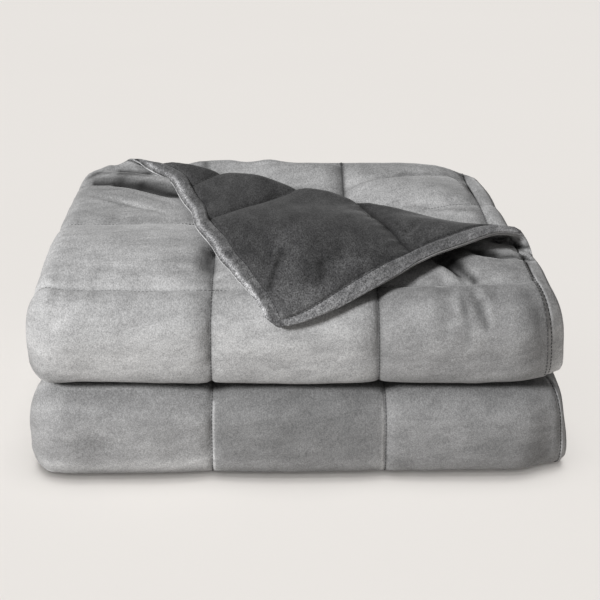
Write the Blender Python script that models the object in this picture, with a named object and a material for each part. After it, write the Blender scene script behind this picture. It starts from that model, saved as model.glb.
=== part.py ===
"""A quilted weighted blanket as it lies folded.

The quilt is drawn flat, as a face panel and a reverse panel cut along the same stitched
squares. It is then folded the way a person folds it: one corner is turned over, the width is
folded in three, and the strip that this gives is folded back and forth four times.
"""

import math

import bmesh
import bpy
from mathutils import Vector

OBJECT_NAME = "weighted_blanket"

# The flat quilt, in metres: u runs across it from the hem that shows on the right, and
# v runs along it from the end that lies on top at the back.
SQUARE = 0.1295
SQUARES_ALONG = 10
HEM = 0.016
QUILT = 0.0126
SEAM_SHARE = 0.32
HEM_SHARE = 0.46
SEAM_REACH = 0.040
PANEL_GAP = 0.0006

# Seams across the outer third, where they show: the squares are sewn a few millimetres uneven.
OUTER_SEAMS = [HEM, 0.1490, 0.2740, 0.4215]

# The width folded in three. Heights in the strip are counted from its middle layer.
LAYER_PITCH = 0.0138
STRIP_HALF = LAYER_PITCH + QUILT / 2
HEM_X = 0.212
LEFT_BEND_X = -0.188
RIGHT_BEND_X = 0.191
INNER_SEAM_X = 0.178
INNER_HEM_X = -0.168

# The strip folded back and forth, top pass first.
PASS_GAP = 0.0018
FRONT_BEND_Y = -0.116
BACK_BEND_Y = 0.120
TOP_END_Y = 0.154
BEND_POWER = 3.2

# The corner that is turned over: how far its crease lies from the corner along each edge.
CREASE_ALONG_U = 0.386
CREASE_ALONG_V = 0.2145
CREASE_RADIUS = 0.0072

# How the turned corner lies: it drifts as it leaves the crease, and both its hems bow outward.
TURNED_DRIFT_U = 0.325
TURNED_DRIFT_V = -0.028
END_BOW_U = -0.0046
END_BOW_V = 0.057
SIDE_BOW_U = 0.018
SIDE_BOW_V = 0.023

# How far the uncovered cloth behind the crease puffs up, and over what distance.
FREE_RISE = 0.018
FREE_START = 0.012
FREE_REACH = 0.075

# How the pile settles under its own weight.
BOTTOM_PRESS = 0.82
TOP_SWELL = 1.153
FRONT_DROOP = 0.138
FRONT_DROOP_POWER = 2.2
BACK_LIFT = 0.027
BACK_LIFT_POWER = 6
TOP_SAG = 0.032
SAG_Y = 0.0265
SAG_REACH = 0.070
CORNER_REACH = 0.060
CORNER_BACK = 0.012
SIDE_TUCK = 0.0066
TOP_NARROWING = 0.058
FRONT_NARROWING = 0.25
RIGHT_NARROWING = 1.2
PRESSED_FROM = 0.55

BEND_RADIUS = STRIP_HALF + PASS_GAP / 2
PASS_PITCH = 2 * BEND_RADIUS
PASS_HEIGHTS = [STRIP_HALF + PASS_PITCH * index for index in (3, 2, 1, 0)]
BEND_CLOTH = math.pi * (BEND_RADIUS + LAYER_PITCH)
PASS_LENGTH = BACK_BEND_Y - FRONT_BEND_Y
TOP_LENGTH = TOP_END_Y - FRONT_BEND_Y
STACK_HEIGHT = PASS_HEIGHTS[0] + STRIP_HALF
CLOTH_LENGTH = SQUARES_ALONG * SQUARE + 2 * HEM

OUTER_WIDTH = HEM_X - LEFT_BEND_X
LEFT_CLOTH = math.pi * LAYER_PITCH
INNER_SPAN = RIGHT_BEND_X - LEFT_BEND_X
RIGHT_CLOTH = math.pi * LAYER_PITCH / 2
CLOTH_WIDTH = OUTER_WIDTH + LEFT_CLOTH + INNER_SPAN + RIGHT_CLOTH + RIGHT_BEND_X - INNER_HEM_X

# Where each stretch of the strip's length starts, measured along the cloth.
STRETCHES = [
    {"kind": "pass", "cloth": TOP_LENGTH},
    {"kind": "front", "cloth": BEND_CLOTH},
    {"kind": "pass", "cloth": PASS_LENGTH},
    {"kind": "back", "cloth": BEND_CLOTH},
    {"kind": "pass", "cloth": PASS_LENGTH},
    {"kind": "front", "cloth": BEND_CLOTH},
    {"kind": "pass", "cloth": CLOTH_LENGTH - TOP_LENGTH - 2 * PASS_LENGTH - 3 * BEND_CLOTH},
]

# How finely the grid is cut: steps in each kind of stretch, and lines added by hand.
ROW_STEPS = {"pass": 4, "front": 6, "back": 4}
CORNER_ROWS = [0.060, 0.105]
LEFT_STEPS = 5
RIGHT_STEPS = 4
MIDDLE_LINE_X = 0.005
CREASE_CUTS = 4
CUT_TOLERANCE = 0.0012

# Each panel's side of the middle surface and its plush.
PANELS = [
    {"name": "face_panel", "side": 1, "colour": (0.42, 0.42, 0.42), "roughness": 0.75},
    {"name": "reverse_panel", "side": -1, "colour": (0.065, 0.065, 0.066), "roughness": 0.80},
]


def smoothstep(value):
    """Ease a value between 0 and 1."""
    value = min(1.0, max(0.0, value))
    return value * value * (3 - 2 * value)


def seam_columns():
    """Seams across the width: regular squares where they show, even strips between."""
    middle_start = OUTER_WIDTH + LEFT_CLOTH
    middle = [middle_start + HEM_X - u - LEFT_BEND_X for u in (OUTER_SEAMS[2], OUTER_SEAMS[1])]
    inner_start = middle_start + INNER_SPAN + RIGHT_CLOTH
    first_inner = inner_start + RIGHT_BEND_X - INNER_SEAM_X
    inner = [first_inner + SQUARE * index for index in range(3)]
    return OUTER_SEAMS + middle + inner + [CLOTH_WIDTH - HEM]


def seam_rows():
    """Seams along the length, a square apart."""
    return [HEM + SQUARE * index for index in range(SQUARES_ALONG + 1)]


SEAM_U = seam_columns()
SEAM_V = seam_rows()


def column_lines():
    """Grid lines across the width, shared by the layers that lie on each other."""
    inner_seams = [INNER_SEAM_X - SQUARE * index for index in range(3)]
    outer_seams = [HEM_X - u for u in OUTER_SEAMS[1:3]]
    halves = [(a + b) / 2 for a, b in zip(inner_seams, outer_seams)]
    left_half = (inner_seams[2] + LEFT_BEND_X) / 2
    shared = sorted(inner_seams + outer_seams + halves + [left_half], reverse=True)
    lines = [0.0, SEAM_U[0]] + [HEM_X - x for x in shared] + [OUTER_WIDTH]
    start = OUTER_WIDTH
    lines += [start + LEFT_CLOTH * step / LEFT_STEPS for step in range(1, LEFT_STEPS + 1)]
    start += LEFT_CLOTH
    middle = sorted(outer_seams + [MIDDLE_LINE_X, left_half, (outer_seams[0] + RIGHT_BEND_X) / 2])
    lines += [start + x - LEFT_BEND_X for x in middle] + [start + INNER_SPAN]
    start += INNER_SPAN
    lines += [start + RIGHT_CLOTH * step / RIGHT_STEPS for step in range(1, RIGHT_STEPS + 1)]
    start += RIGHT_CLOTH
    lines += [start + RIGHT_BEND_X - x for x in shared]
    return lines + [CLOTH_WIDTH - HEM, CLOTH_WIDTH]


def row_lines():
    """Grid lines along the length: every seam, and even steps round the bends."""
    lines = [0.0, CLOTH_LENGTH] + CORNER_ROWS + SEAM_V
    start = 0.0
    for stretch in STRETCHES:
        count = ROW_STEPS[stretch["kind"]]
        for step in range(count + 1):
            line = start + stretch["cloth"] * step / count
            if min(abs(line - other) for other in lines) > HEM:
                lines.append(line)
        start += stretch["cloth"]
    return sorted(lines)


def loft(u, v, side):
    """Share of the full thickness at a place: drawn in at seams and flat in the hem."""
    to_seam = min(min(abs(u - s) for s in SEAM_U), min(abs(v - s) for s in SEAM_V))
    puff = SEAM_SHARE + (1 - SEAM_SHARE) * math.sqrt(min(1.0, to_seam / SEAM_REACH))
    in_hem = min(u, v, CLOTH_WIDTH - u, CLOTH_LENGTH - v) < HEM / 2
    share = HEM_SHARE if in_hem else puff
    if side < 0:
        return share
    # The face of the outer third lies on the floor in the last pass, pressed flat.
    last_bend = CLOTH_LENGTH - STRETCHES[-1]["cloth"] - BEND_CLOTH
    along = smoothstep(((v - last_bend) / BEND_CLOTH - PRESSED_FROM) / (1 - PRESSED_FROM))
    across = 1 - smoothstep((u - OUTER_WIDTH) / LEFT_CLOTH)
    return share + (1 - share) * along * across


def crease_distance(u, v):
    """Distance past the crease towards the turned corner, and the crease's normal."""
    normal = Vector((-1 / CREASE_ALONG_U, -1 / CREASE_ALONG_V))
    length = normal.length
    return (1 - u / CREASE_ALONG_U - v / CREASE_ALONG_V) / length, normal / length


def turned_bow(u, v, beyond):
    """How far a place of the turned corner lies outward of a plain fold, across and along."""
    reach = crease_distance(0, 0)[0] - math.pi * CREASE_RADIUS
    bow = 4 * beyond * (reach - beyond) / reach**2
    side = v / max(u + v, HEM / 2)
    across = END_BOW_U + (SIDE_BOW_U - END_BOW_U) * side
    return bow * across, bow * (END_BOW_V + (SIDE_BOW_V - END_BOW_V) * side)


def turn_corner(u, v, w):
    """Turn the corner over its crease: returns the new u, v and height over the layer."""
    past, normal = crease_distance(u, v)
    half_turn = math.pi * CREASE_RADIUS
    if past <= 0:
        return u, v, w
    if past < half_turn:
        angle = past / CREASE_RADIUS
        move = (CREASE_RADIUS - w) * math.sin(angle) - past
        height = CREASE_RADIUS - (CREASE_RADIUS - w) * math.cos(angle)
        return u + normal.x * move, v + normal.y * move, height
    beyond = past - half_turn
    move = -beyond - past
    bow_u, bow_v = turned_bow(u, v, beyond)
    new_u = u + normal.x * move + TURNED_DRIFT_U * beyond + bow_u
    return new_u, v + normal.y * move + TURNED_DRIFT_V * beyond + bow_v, 2 * CREASE_RADIUS - w


def free_rise(x, v, height):
    """Extra height in the top pass where the turned corner leaves the strip uncovered."""
    past, _ = crease_distance(HEM_X - x, v)
    share = smoothstep((past - FREE_START) / FREE_REACH)
    return FREE_RISE * share * min(1.0, max(0.0, (height + STRIP_HALF) / STRIP_HALF))


def fold_width(u, w):
    """Fold the width in three: returns x and the height in the strip."""
    if u <= OUTER_WIDTH:
        return HEM_X - u, LAYER_PITCH + w
    u -= OUTER_WIDTH
    if u <= LEFT_CLOTH:
        angle = math.pi * u / LEFT_CLOTH
        radius = LAYER_PITCH + w
        return LEFT_BEND_X - radius * math.sin(angle), radius * math.cos(angle)
    u -= LEFT_CLOTH
    if u <= INNER_SPAN:
        return LEFT_BEND_X + u, -LAYER_PITCH - w
    u -= INNER_SPAN
    if u <= RIGHT_CLOTH:
        angle = math.pi * u / RIGHT_CLOTH
        radius = LAYER_PITCH / 2 + w
        return RIGHT_BEND_X + radius * math.sin(angle), -LAYER_PITCH / 2 - radius * math.cos(angle)
    return RIGHT_BEND_X - (u - RIGHT_CLOTH), w


def bend_point(radius, share):
    """A point of a squared half turn: how far it bulges, and its height over the centre."""
    angle = math.pi * share
    sine, cosine = math.sin(angle), math.cos(angle)
    size = (abs(sine) ** BEND_POWER + abs(cosine) ** BEND_POWER) ** (-1 / BEND_POWER)
    return radius * size * sine, radius * size * cosine


def fold_length(v, height):
    """Fold the strip back and forth: returns y and z before the stack settles."""
    level = 0
    for index, stretch in enumerate(STRETCHES):
        last = index == len(STRETCHES) - 1
        if v <= stretch["cloth"] or last:
            break
        v -= stretch["cloth"]
        level += stretch["kind"] != "pass"
    if stretch["kind"] == "front":
        out, up = bend_point(BEND_RADIUS + height, v / BEND_CLOTH)
        return FRONT_BEND_Y - out, PASS_HEIGHTS[level] - BEND_RADIUS + up
    if stretch["kind"] == "back":
        out, up = bend_point(BEND_RADIUS - height, v / BEND_CLOTH)
        return BACK_BEND_Y + out, PASS_HEIGHTS[level] - BEND_RADIUS + up
    if level == 0:
        return TOP_END_Y - v, PASS_HEIGHTS[0] + height
    if level % 2:
        return FRONT_BEND_Y + v, PASS_HEIGHTS[level] - height
    return BACK_BEND_Y - v, PASS_HEIGHTS[level] + height


def settle(x, y, z):
    """Settle the stack: pressed below, swollen above, sagging on top, its corners rounded."""
    rise = z / STACK_HEIGHT
    pressed = z * (BOTTOM_PRESS + (TOP_SWELL - BOTTOM_PRESS) * rise / 2)
    middle = (FRONT_BEND_Y + BACK_BEND_Y) / 2
    along = (y - middle) / (TOP_END_Y - middle)
    droop = FRONT_DROOP * max(0.0, -along) ** FRONT_DROOP_POWER
    droop -= BACK_LIFT * max(0.0, along) ** BACK_LIFT_POWER
    sag = TOP_SAG * rise * rise * math.exp(-(((y - SAG_Y) / SAG_REACH) ** 2))
    edge = smoothstep((abs(x) - HEM_X + CORNER_REACH) / CORNER_REACH)
    front = smoothstep((middle - y) / (middle - FRONT_BEND_Y + BEND_RADIUS))
    side = math.copysign(SIDE_TUCK * edge * edge, x)
    back_share = smoothstep(0.5 + along / 2)
    narrowing = TOP_NARROWING * rise * rise * (FRONT_NARROWING + (1 - FRONT_NARROWING) * back_share)
    narrowing *= 1 + RIGHT_NARROWING * smoothstep(x / HEM_X)
    height = pressed * (1 - droop * rise) * (1 - sag)
    return Vector(((1 - narrowing) * x - side, y + CORNER_BACK * edge * edge * front, height))


def place(u, v, w):
    """Take a point of the flat quilt to where it lies in the folded stack."""
    u, v, height = turn_corner(u, v, w)
    x, level = fold_width(u, height)
    if v < TOP_LENGTH and height < QUILT:
        level += free_rise(x, v, level)
    y, z = fold_length(v, level)
    return settle(x, y, z)


def flat_grid():
    """The flat quilt as one sheet cut along its grid lines and round its crease."""
    columns, rows = column_lines(), row_lines()
    sheet = bmesh.new()
    bmesh.ops.create_grid(sheet, x_segments=len(columns) - 1, y_segments=len(rows) - 1, size=0.5)
    for vertex in sheet.verts:
        column = round((vertex.co.x + 0.5) * (len(columns) - 1))
        row = round((vertex.co.y + 0.5) * (len(rows) - 1))
        vertex.co = Vector((columns[column], rows[row], 0.0))
    for step in range(CREASE_CUTS + 1):
        past = math.pi * CREASE_RADIUS * step / CREASE_CUTS
        _, normal = crease_distance(0, 0)
        foot = Vector((CREASE_ALONG_U, 0)) + normal * past
        bmesh.ops.bisect_plane(
            sheet,
            geom=sheet.verts[:] + sheet.edges[:] + sheet.faces[:],
            dist=CUT_TOLERANCE,
            plane_co=(foot.x, foot.y, 0),
            plane_no=(normal.x, normal.y, 0),
        )
    bmesh.ops.triangulate(sheet, faces=sheet.faces[:])
    return sheet


def panel_mesh(panel):
    """One panel: the flat sheet thickened to its loft, then folded."""
    mesh = flat_grid()
    near = list(mesh.verts)
    extruded = bmesh.ops.extrude_face_region(mesh, geom=mesh.faces[:])
    far = [item for item in extruded["geom"] if isinstance(item, bmesh.types.BMVert)]
    side = panel["side"]
    for vertex in near:
        vertex.co = place(vertex.co.x, vertex.co.y, side * PANEL_GAP / 2)
    for vertex in far:
        thickness = loft(vertex.co.x, vertex.co.y, side) * QUILT / 2
        vertex.co = place(vertex.co.x, vertex.co.y, side * thickness)
    bmesh.ops.triangulate(mesh, faces=mesh.faces[:])
    bmesh.ops.recalc_face_normals(mesh, faces=mesh.faces[:])
    return mesh


def make_material(panel):
    """The panel's plush as a plain Principled material."""
    material = bpy.data.materials.new(panel["name"] + "_plush")
    material.use_nodes = True
    shader = material.node_tree.nodes["Principled BSDF"]
    shader.inputs["Base Color"].default_value = (*panel["colour"], 1.0)
    shader.inputs["Roughness"].default_value = panel["roughness"]
    shader.inputs["Metallic"].default_value = 0.0
    return material


def build():
    """Build both panels, centred over the origin with the lowest point on the floor."""
    for item in list(bpy.data.objects):
        bpy.data.objects.remove(item, do_unlink=True)
    collection = bpy.data.collections.new(OBJECT_NAME)
    bpy.context.scene.collection.children.link(collection)
    solids = [(panel, panel_mesh(panel)) for panel in PANELS]
    points = [vertex.co for _, solid in solids for vertex in solid.verts]
    low = Vector([min(point[axis] for point in points) for axis in range(3)])
    high = Vector([max(point[axis] for point in points) for axis in range(3)])
    shift = Vector((-(low.x + high.x) / 2, -(low.y + high.y) / 2, -low.z))
    for panel, solid in solids:
        bmesh.ops.translate(solid, vec=shift, verts=solid.verts[:])
        mesh = bpy.data.meshes.new(panel["name"])
        solid.to_mesh(mesh)
        solid.free()
        mesh.materials.append(make_material(panel))
        collection.objects.link(bpy.data.objects.new(panel["name"], mesh))


build()
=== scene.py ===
"""Looks of a quilted plush weighted blanket that lies folded in two tiers.

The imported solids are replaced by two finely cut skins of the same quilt, a silver-grey face and
a charcoal reverse. Both are drawn flat, in the cloth's own coordinates, with their quilted loft,
puckers and creases, and are then folded exactly as the solids are. Threads are sewn along the
seams that show.
"""

import logging
import math
from dataclasses import dataclass
from enum import Enum
from typing import Sequence, Union

import bpy
import numpy as np
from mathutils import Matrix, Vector


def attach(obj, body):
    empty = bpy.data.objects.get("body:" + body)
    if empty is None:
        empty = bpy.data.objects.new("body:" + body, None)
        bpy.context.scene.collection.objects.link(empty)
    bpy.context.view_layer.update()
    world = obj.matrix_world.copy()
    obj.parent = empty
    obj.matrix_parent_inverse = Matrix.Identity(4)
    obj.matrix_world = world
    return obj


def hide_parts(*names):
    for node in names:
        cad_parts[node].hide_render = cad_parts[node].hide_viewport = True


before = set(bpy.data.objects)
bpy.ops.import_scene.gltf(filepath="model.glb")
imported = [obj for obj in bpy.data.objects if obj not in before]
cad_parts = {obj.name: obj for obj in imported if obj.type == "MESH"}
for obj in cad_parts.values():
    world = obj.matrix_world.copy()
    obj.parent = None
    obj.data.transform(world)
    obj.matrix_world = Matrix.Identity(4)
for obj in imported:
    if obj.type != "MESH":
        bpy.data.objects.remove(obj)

LOG = logging.getLogger("weighted_blanket")
ARRAY = np.ndarray
PAIR = tuple[float, float]
TRIPLE = tuple[float, float, float]
MILLIMETRE = 0.001


class Side(Enum):
    """The two sides of the quilt, as the sign of the height over its middle surface."""

    FACE = 1
    REVERSE = -1


def smoothstep(value: ARRAY) -> ARRAY:
    """Ease values between 0 and 1."""
    value = np.clip(value, 0.0, 1.0)
    return value * value * (3 - 2 * value)


def lattice_noise(x: ARRAY, y: ARRAY, seed: int) -> ARRAY:
    """Smooth noise between -1 and 1 on a unit lattice.

    Args:
        x: First coordinate, in lattice cells.
        y: Second coordinate, in lattice cells.
        seed: Number that fixes the lattice's values.

    Returns:
        The noise at every point.
    """
    x, y = np.broadcast_arrays(np.asarray(x, float), np.asarray(y, float))
    count = 257
    table = np.random.default_rng(seed).uniform(-1, 1, (count, count))
    column, row = np.floor(x).astype(int), np.floor(y).astype(int)
    across, along = smoothstep(x - column), smoothstep(y - row)
    c0, c1, r0, r1 = column % count, (column + 1) % count, row % count, (row + 1) % count
    low = table[c0, r0] * (1 - across) + table[c1, r0] * across
    high = table[c0, r1] * (1 - across) + table[c1, r1] * across
    return low * (1 - along) + high * along


@dataclass(frozen=True)
class FoldSizes:
    """Sizes of the quilt and of its folds, in metres, the same as those of the solids."""

    square: float = 0.1295
    squares_along: int = 10
    hem: float = 0.016
    quilt: float = 0.0126
    layer_pitch: float = 0.0138
    hem_x: float = 0.212
    left_bend_x: float = -0.188
    right_bend_x: float = 0.191
    inner_seam_x: float = 0.178
    inner_hem_x: float = -0.168
    pass_gap: float = 0.0018
    front_bend_y: float = -0.116
    back_bend_y: float = 0.120
    top_end_y: float = 0.154
    bend_power: float = 3.2
    crease_along_u: float = 0.386
    crease_along_v: float = 0.2145
    crease_radius: float = 0.0072
    turned_drift: PAIR = (0.325, -0.028)
    end_bow: PAIR = (-0.0046, 0.057)
    side_bow: PAIR = (0.018, 0.023)
    free_rise: float = 0.018
    free_start: float = 0.012
    free_reach: float = 0.075
    bottom_press: float = 0.82
    top_swell: float = 1.153
    front_droop: float = 0.138
    front_droop_power: float = 2.2
    back_lift: float = 0.027
    back_lift_power: float = 6
    top_sag: float = 0.032
    sag_y: float = 0.0265
    sag_reach: float = 0.070
    corner_reach: float = 0.060
    corner_back: float = 0.012
    side_tuck: float = 0.0066
    top_narrowing: float = 0.058
    front_narrowing: float = 0.25
    right_narrowing: float = 1.2
    pressed_from: float = 0.55
    outer_seams: tuple[float, ...] = (0.016, 0.1490, 0.2740, 0.4215)
    centre_x: float = 0.0028
    centre_y: float = -0.0035

    @property
    def crease_slope(self) -> float:
        """How fast a place's share of both crease lengths grows across the crease."""
        return math.hypot(1 / self.crease_along_u, 1 / self.crease_along_v)

    @property
    def strip_half(self) -> float:
        """Half the thickness of the strip of three layers."""
        return self.layer_pitch + self.quilt / 2

    @property
    def bend_radius(self) -> float:
        """Radius of the middle layer where the strip turns back."""
        return self.strip_half + self.pass_gap / 2

    @property
    def pass_heights(self) -> tuple[float, ...]:
        """Heights of the four passes' middle layers, the top one first."""
        return tuple(self.strip_half + 2 * self.bend_radius * index for index in (3, 2, 1, 0))

    @property
    def bend_cloth(self) -> float:
        """Length of cloth that one turn of the strip takes."""
        return math.pi * (self.bend_radius + self.layer_pitch)

    @property
    def pass_length(self) -> float:
        """Length of cloth in a pass between two turns."""
        return self.back_bend_y - self.front_bend_y

    @property
    def top_length(self) -> float:
        """Length of cloth in the top pass."""
        return self.top_end_y - self.front_bend_y

    @property
    def first_turn_end(self) -> float:
        """Where the front turn of the upper tier ends, along the cloth."""
        return self.top_length + self.bend_cloth

    @property
    def second_turn_start(self) -> float:
        """Where the front turn of the lower tier starts, along the cloth."""
        return self.first_turn_end + 2 * self.pass_length + self.bend_cloth

    @property
    def cloth_length(self) -> float:
        """Length of the flat quilt."""
        return self.squares_along * self.square + 2 * self.hem

    @property
    def outer_width(self) -> float:
        """Width of the outer third, up to the left bend."""
        return self.hem_x - self.left_bend_x

    @property
    def left_cloth(self) -> float:
        """Width of cloth in the left bend."""
        return math.pi * self.layer_pitch

    @property
    def inner_span(self) -> float:
        """Width of the middle third."""
        return self.right_bend_x - self.left_bend_x

    @property
    def right_cloth(self) -> float:
        """Width of cloth in the right bend."""
        return math.pi * self.layer_pitch / 2

    @property
    def inner_start(self) -> float:
        """Where the inner third starts, across the cloth."""
        return self.outer_width + self.left_cloth + self.inner_span + self.right_cloth

    @property
    def cloth_width(self) -> float:
        """Width of the flat quilt."""
        return self.inner_start + self.right_bend_x - self.inner_hem_x


@dataclass(frozen=True)
class FoldedStack:
    """Takes points of the flat quilt to where they lie in the folded stack."""

    sizes: FoldSizes

    def past_crease(self, u: ARRAY, v: ARRAY) -> ARRAY:
        """Distance past the corner's crease, towards the corner."""
        s = self.sizes
        return (1 - u / s.crease_along_u - v / s.crease_along_v) / s.crease_slope

    def turn_corner(self, u: ARRAY, v: ARRAY, w: ARRAY) -> tuple[ARRAY, ARRAY, ARRAY]:
        """Turn the corner over its crease.

        Args:
            u: Place across the cloth.
            v: Place along the cloth.
            w: Height over the quilt's middle surface.

        Returns:
            The new u and v, and the height over the layer below.
        """
        s = self.sizes
        past = self.past_crease(u, v)
        reach = 1 / s.crease_slope - math.pi * s.crease_radius
        angle = np.clip(past / s.crease_radius, 0, math.pi)
        beyond = np.maximum(past - math.pi * s.crease_radius, 0)
        move = (s.crease_radius - w) * np.sin(angle) - beyond - np.maximum(past, 0)
        bow = 4 * beyond * (reach - beyond) / reach**2
        slide = move / s.crease_slope
        side = v / np.maximum(u + v, s.hem / 2)
        places = []
        for place, along, axis in ((u, s.crease_along_u, 0), (v, s.crease_along_v, 1)):
            bowed = s.end_bow[axis] + (s.side_bow[axis] - s.end_bow[axis]) * side
            places.append(place - slide / along + s.turned_drift[axis] * beyond + bow * bowed)
        return *places, s.crease_radius - (s.crease_radius - w) * np.cos(angle)

    def fold_width(self, u: ARRAY, height: ARRAY) -> tuple[ARRAY, ARRAY]:
        """Fold the width in three.

        Args:
            u: Place across the cloth.
            height: Height over the layer's middle.

        Returns:
            x, and the height over the strip's middle layer.
        """
        s = self.sizes
        left = np.clip((u - s.outer_width) / s.left_cloth, 0, 1) * math.pi
        right = np.clip((u - s.inner_start) / s.right_cloth + 1, 0, 1) * math.pi
        outer_radius = s.layer_pitch + height
        inner_radius = s.layer_pitch / 2 + height
        places = [u <= s.outer_width, left < math.pi, right <= 0, right < math.pi]
        x = np.select(
            places,
            [
                s.hem_x - u,
                s.left_bend_x - outer_radius * np.sin(left),
                s.left_bend_x + u - s.outer_width - s.left_cloth,
                s.right_bend_x + inner_radius * np.sin(right),
            ],
            s.right_bend_x - (u - s.inner_start),
        )
        level = np.select(
            places,
            [
                outer_radius,
                outer_radius * np.cos(left),
                -outer_radius,
                -s.layer_pitch / 2 - inner_radius * np.cos(right),
            ],
            height,
        )
        return x, level

    def free_rise(self, x: ARRAY, v: ARRAY, level: ARRAY) -> ARRAY:
        """Extra height where the turned corner leaves the strip uncovered.

        Args:
            x: Place across the stack.
            v: Place along the cloth.
            level: Height over the strip's middle layer.

        Returns:
            The height to add to the level.
        """
        s = self.sizes
        share = smoothstep((self.past_crease(s.hem_x - x, v) - s.free_start) / s.free_reach)
        depth = np.clip((level + s.strip_half) / s.strip_half, 0, 1)
        return s.free_rise * share * depth * (v < s.top_length)

    def bend_point(self, radius: ARRAY, share: ARRAY) -> tuple[ARRAY, ARRAY]:
        """Point on a squared half turn.

        Args:
            radius: Radius of the layer.
            share: Share of the turn, between 0 and 1.

        Returns:
            How far it bulges, and its height over the centre.
        """
        angle = np.pi * share
        sine, cosine, power = np.sin(angle), np.cos(angle), self.sizes.bend_power
        size = (np.abs(sine) ** power + np.abs(cosine) ** power) ** (-1 / power)
        return radius * size * sine, radius * size * cosine

    def fold_length(self, v: ARRAY, level: ARRAY) -> tuple[ARRAY, ARRAY]:
        """Fold the strip back and forth.

        Args:
            v: Place along the cloth.
            level: Height over the strip's middle layer.

        Returns:
            y and z before the stack settles.
        """
        s = self.sizes
        ends = np.cumsum([s.top_length, s.bend_cloth, s.pass_length, s.bend_cloth])
        ends = np.append(ends, [s.second_turn_start, s.second_turn_start + s.bend_cloth])
        top, third, second, bottom = s.pass_heights
        turns = []
        for start, centre, sign in (
            (ends[0], top, 1),
            (ends[2], third, -1),
            (ends[4], second, 1),
        ):
            share = np.clip((v - start) / s.bend_cloth, 0, 1)
            out, up = self.bend_point(s.bend_radius + sign * level, share)
            turns.append((out, centre - s.bend_radius + up))
        places = [v <= end for end in ends]
        y = np.select(
            places,
            [
                s.top_end_y - v,
                s.front_bend_y - turns[0][0],
                s.front_bend_y + v - ends[1],
                s.back_bend_y + turns[1][0],
                s.back_bend_y - (v - ends[3]),
                s.front_bend_y - turns[2][0],
            ],
            s.front_bend_y + v - ends[5],
        )
        z = np.select(
            places,
            [top + level, turns[0][1], third - level, turns[1][1], second + level, turns[2][1]],
            bottom - level,
        )
        return y, z

    def settle(self, x: ARRAY, y: ARRAY, z: ARRAY) -> ARRAY:
        """Settle the stack under its own weight.

        Args:
            x: Place across the stack.
            y: Place towards the back.
            z: Height.

        Returns:
            Points, one row each, in the object's frame.
        """
        s = self.sizes
        rise = z / (s.pass_heights[0] + s.strip_half)
        pressed = z * (s.bottom_press + (s.top_swell - s.bottom_press) * rise / 2)
        middle = (s.front_bend_y + s.back_bend_y) / 2
        along = (y - middle) / (s.top_end_y - middle)
        droop = s.front_droop * np.maximum(0, -along) ** s.front_droop_power
        droop = droop - s.back_lift * np.maximum(0, along) ** s.back_lift_power
        sag = s.top_sag * rise**2 * np.exp(-(((y - s.sag_y) / s.sag_reach) ** 2))
        edge = smoothstep((np.abs(x) - s.hem_x + s.corner_reach) / s.corner_reach) ** 2
        front = smoothstep((middle - y) / (middle - s.front_bend_y + s.bend_radius))
        back_share = (1 - s.front_narrowing) * smoothstep(0.5 + along / 2)
        narrowing = s.top_narrowing * rise**2 * (s.front_narrowing + back_share)
        narrowing = narrowing * (1 + s.right_narrowing * smoothstep(x / s.hem_x))
        new_x = (1 - narrowing) * x - np.sign(x) * s.side_tuck * edge - s.centre_x
        new_y = y + s.corner_back * edge * front - s.centre_y
        return np.stack([new_x, new_y, pressed * (1 - droop * rise) * (1 - sag)], axis=-1)

    def place(self, u: ARRAY, v: ARRAY, w: ARRAY, lift: ARRAY) -> ARRAY:
        """Take points of the flat quilt to where they lie.

        Args:
            u: Place across the cloth.
            v: Place along the cloth.
            w: Height over the quilt's middle surface.
            lift: How far the layer rises off the one below.

        Returns:
            Points, one row each, in the object's frame.
        """
        u, v, height = self.turn_corner(u, v, w)
        turned = height > self.sizes.quilt
        x, level = self.fold_width(u, height + lift)
        level = level + np.where(turned, 0.0, self.free_rise(x, v, level))
        y, z = self.fold_length(v, level)
        return self.settle(x, y, z)


@dataclass(frozen=True)
class Stroke:
    """A line between two places of the flat quilt, its width, and how much it does there."""

    start: PAIR
    end: PAIR
    width: float
    amount: float

    def share(self, u: ARRAY, v: ARRAY) -> ARRAY:
        """Share of the stroke at every place, fading to its sides and past its ends.

        Args:
            u: Place across the cloth.
            v: Place along the cloth.

        Returns:
            Shares between 0 and 1.
        """
        (u0, v0), (u1, v1) = self.start, self.end
        du, dv = u1 - u0, v1 - v0
        along = np.clip(((u - u0) * du + (v - v0) * dv) / (du**2 + dv**2), 0, 1)
        squared = (u - u0 - along * du) ** 2 + (v - v0 - along * dv) ** 2
        return np.exp(-squared / self.width**2)


@dataclass(frozen=True)
class Mark(Stroke):
    """A crease: a soft trough or ridge of the given height that runs out inside its ends."""

    side: Side = Side.FACE
    opening: float = 0.35
    closing: float = 0.45

    def relief(self, u: ARRAY, v: ARRAY) -> ARRAY:
        """Height that the crease adds at every place.

        Args:
            u: Place across the cloth.
            v: Place along the cloth.

        Returns:
            Heights, less than 0 in a trough.
        """
        (u0, v0), (u1, v1) = self.start, self.end
        du, dv = u1 - u0, v1 - v0
        length = math.hypot(du, dv)
        along = ((u - u0) * du + (v - v0) * dv) / length**2
        across = ((u - u0) * dv - (v - v0) * du) / length
        ends = smoothstep(along / self.opening) * smoothstep((1 - along) / self.closing)
        return self.amount * np.exp(-((across / self.width) ** 2)) * ends


@dataclass(frozen=True)
class Swell(Stroke):
    """A stretch where the whole quilt rises off the layer below, or is drawn aside."""

    shift_u: float = 0.0
    shift_v: float = 0.0


@dataclass(frozen=True)
class PaintedLightStreak(Stroke):
    """A stretch of painted light or shade: the pile's colour made lighter or darker by the tone that
    is its amount.
    """


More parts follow.
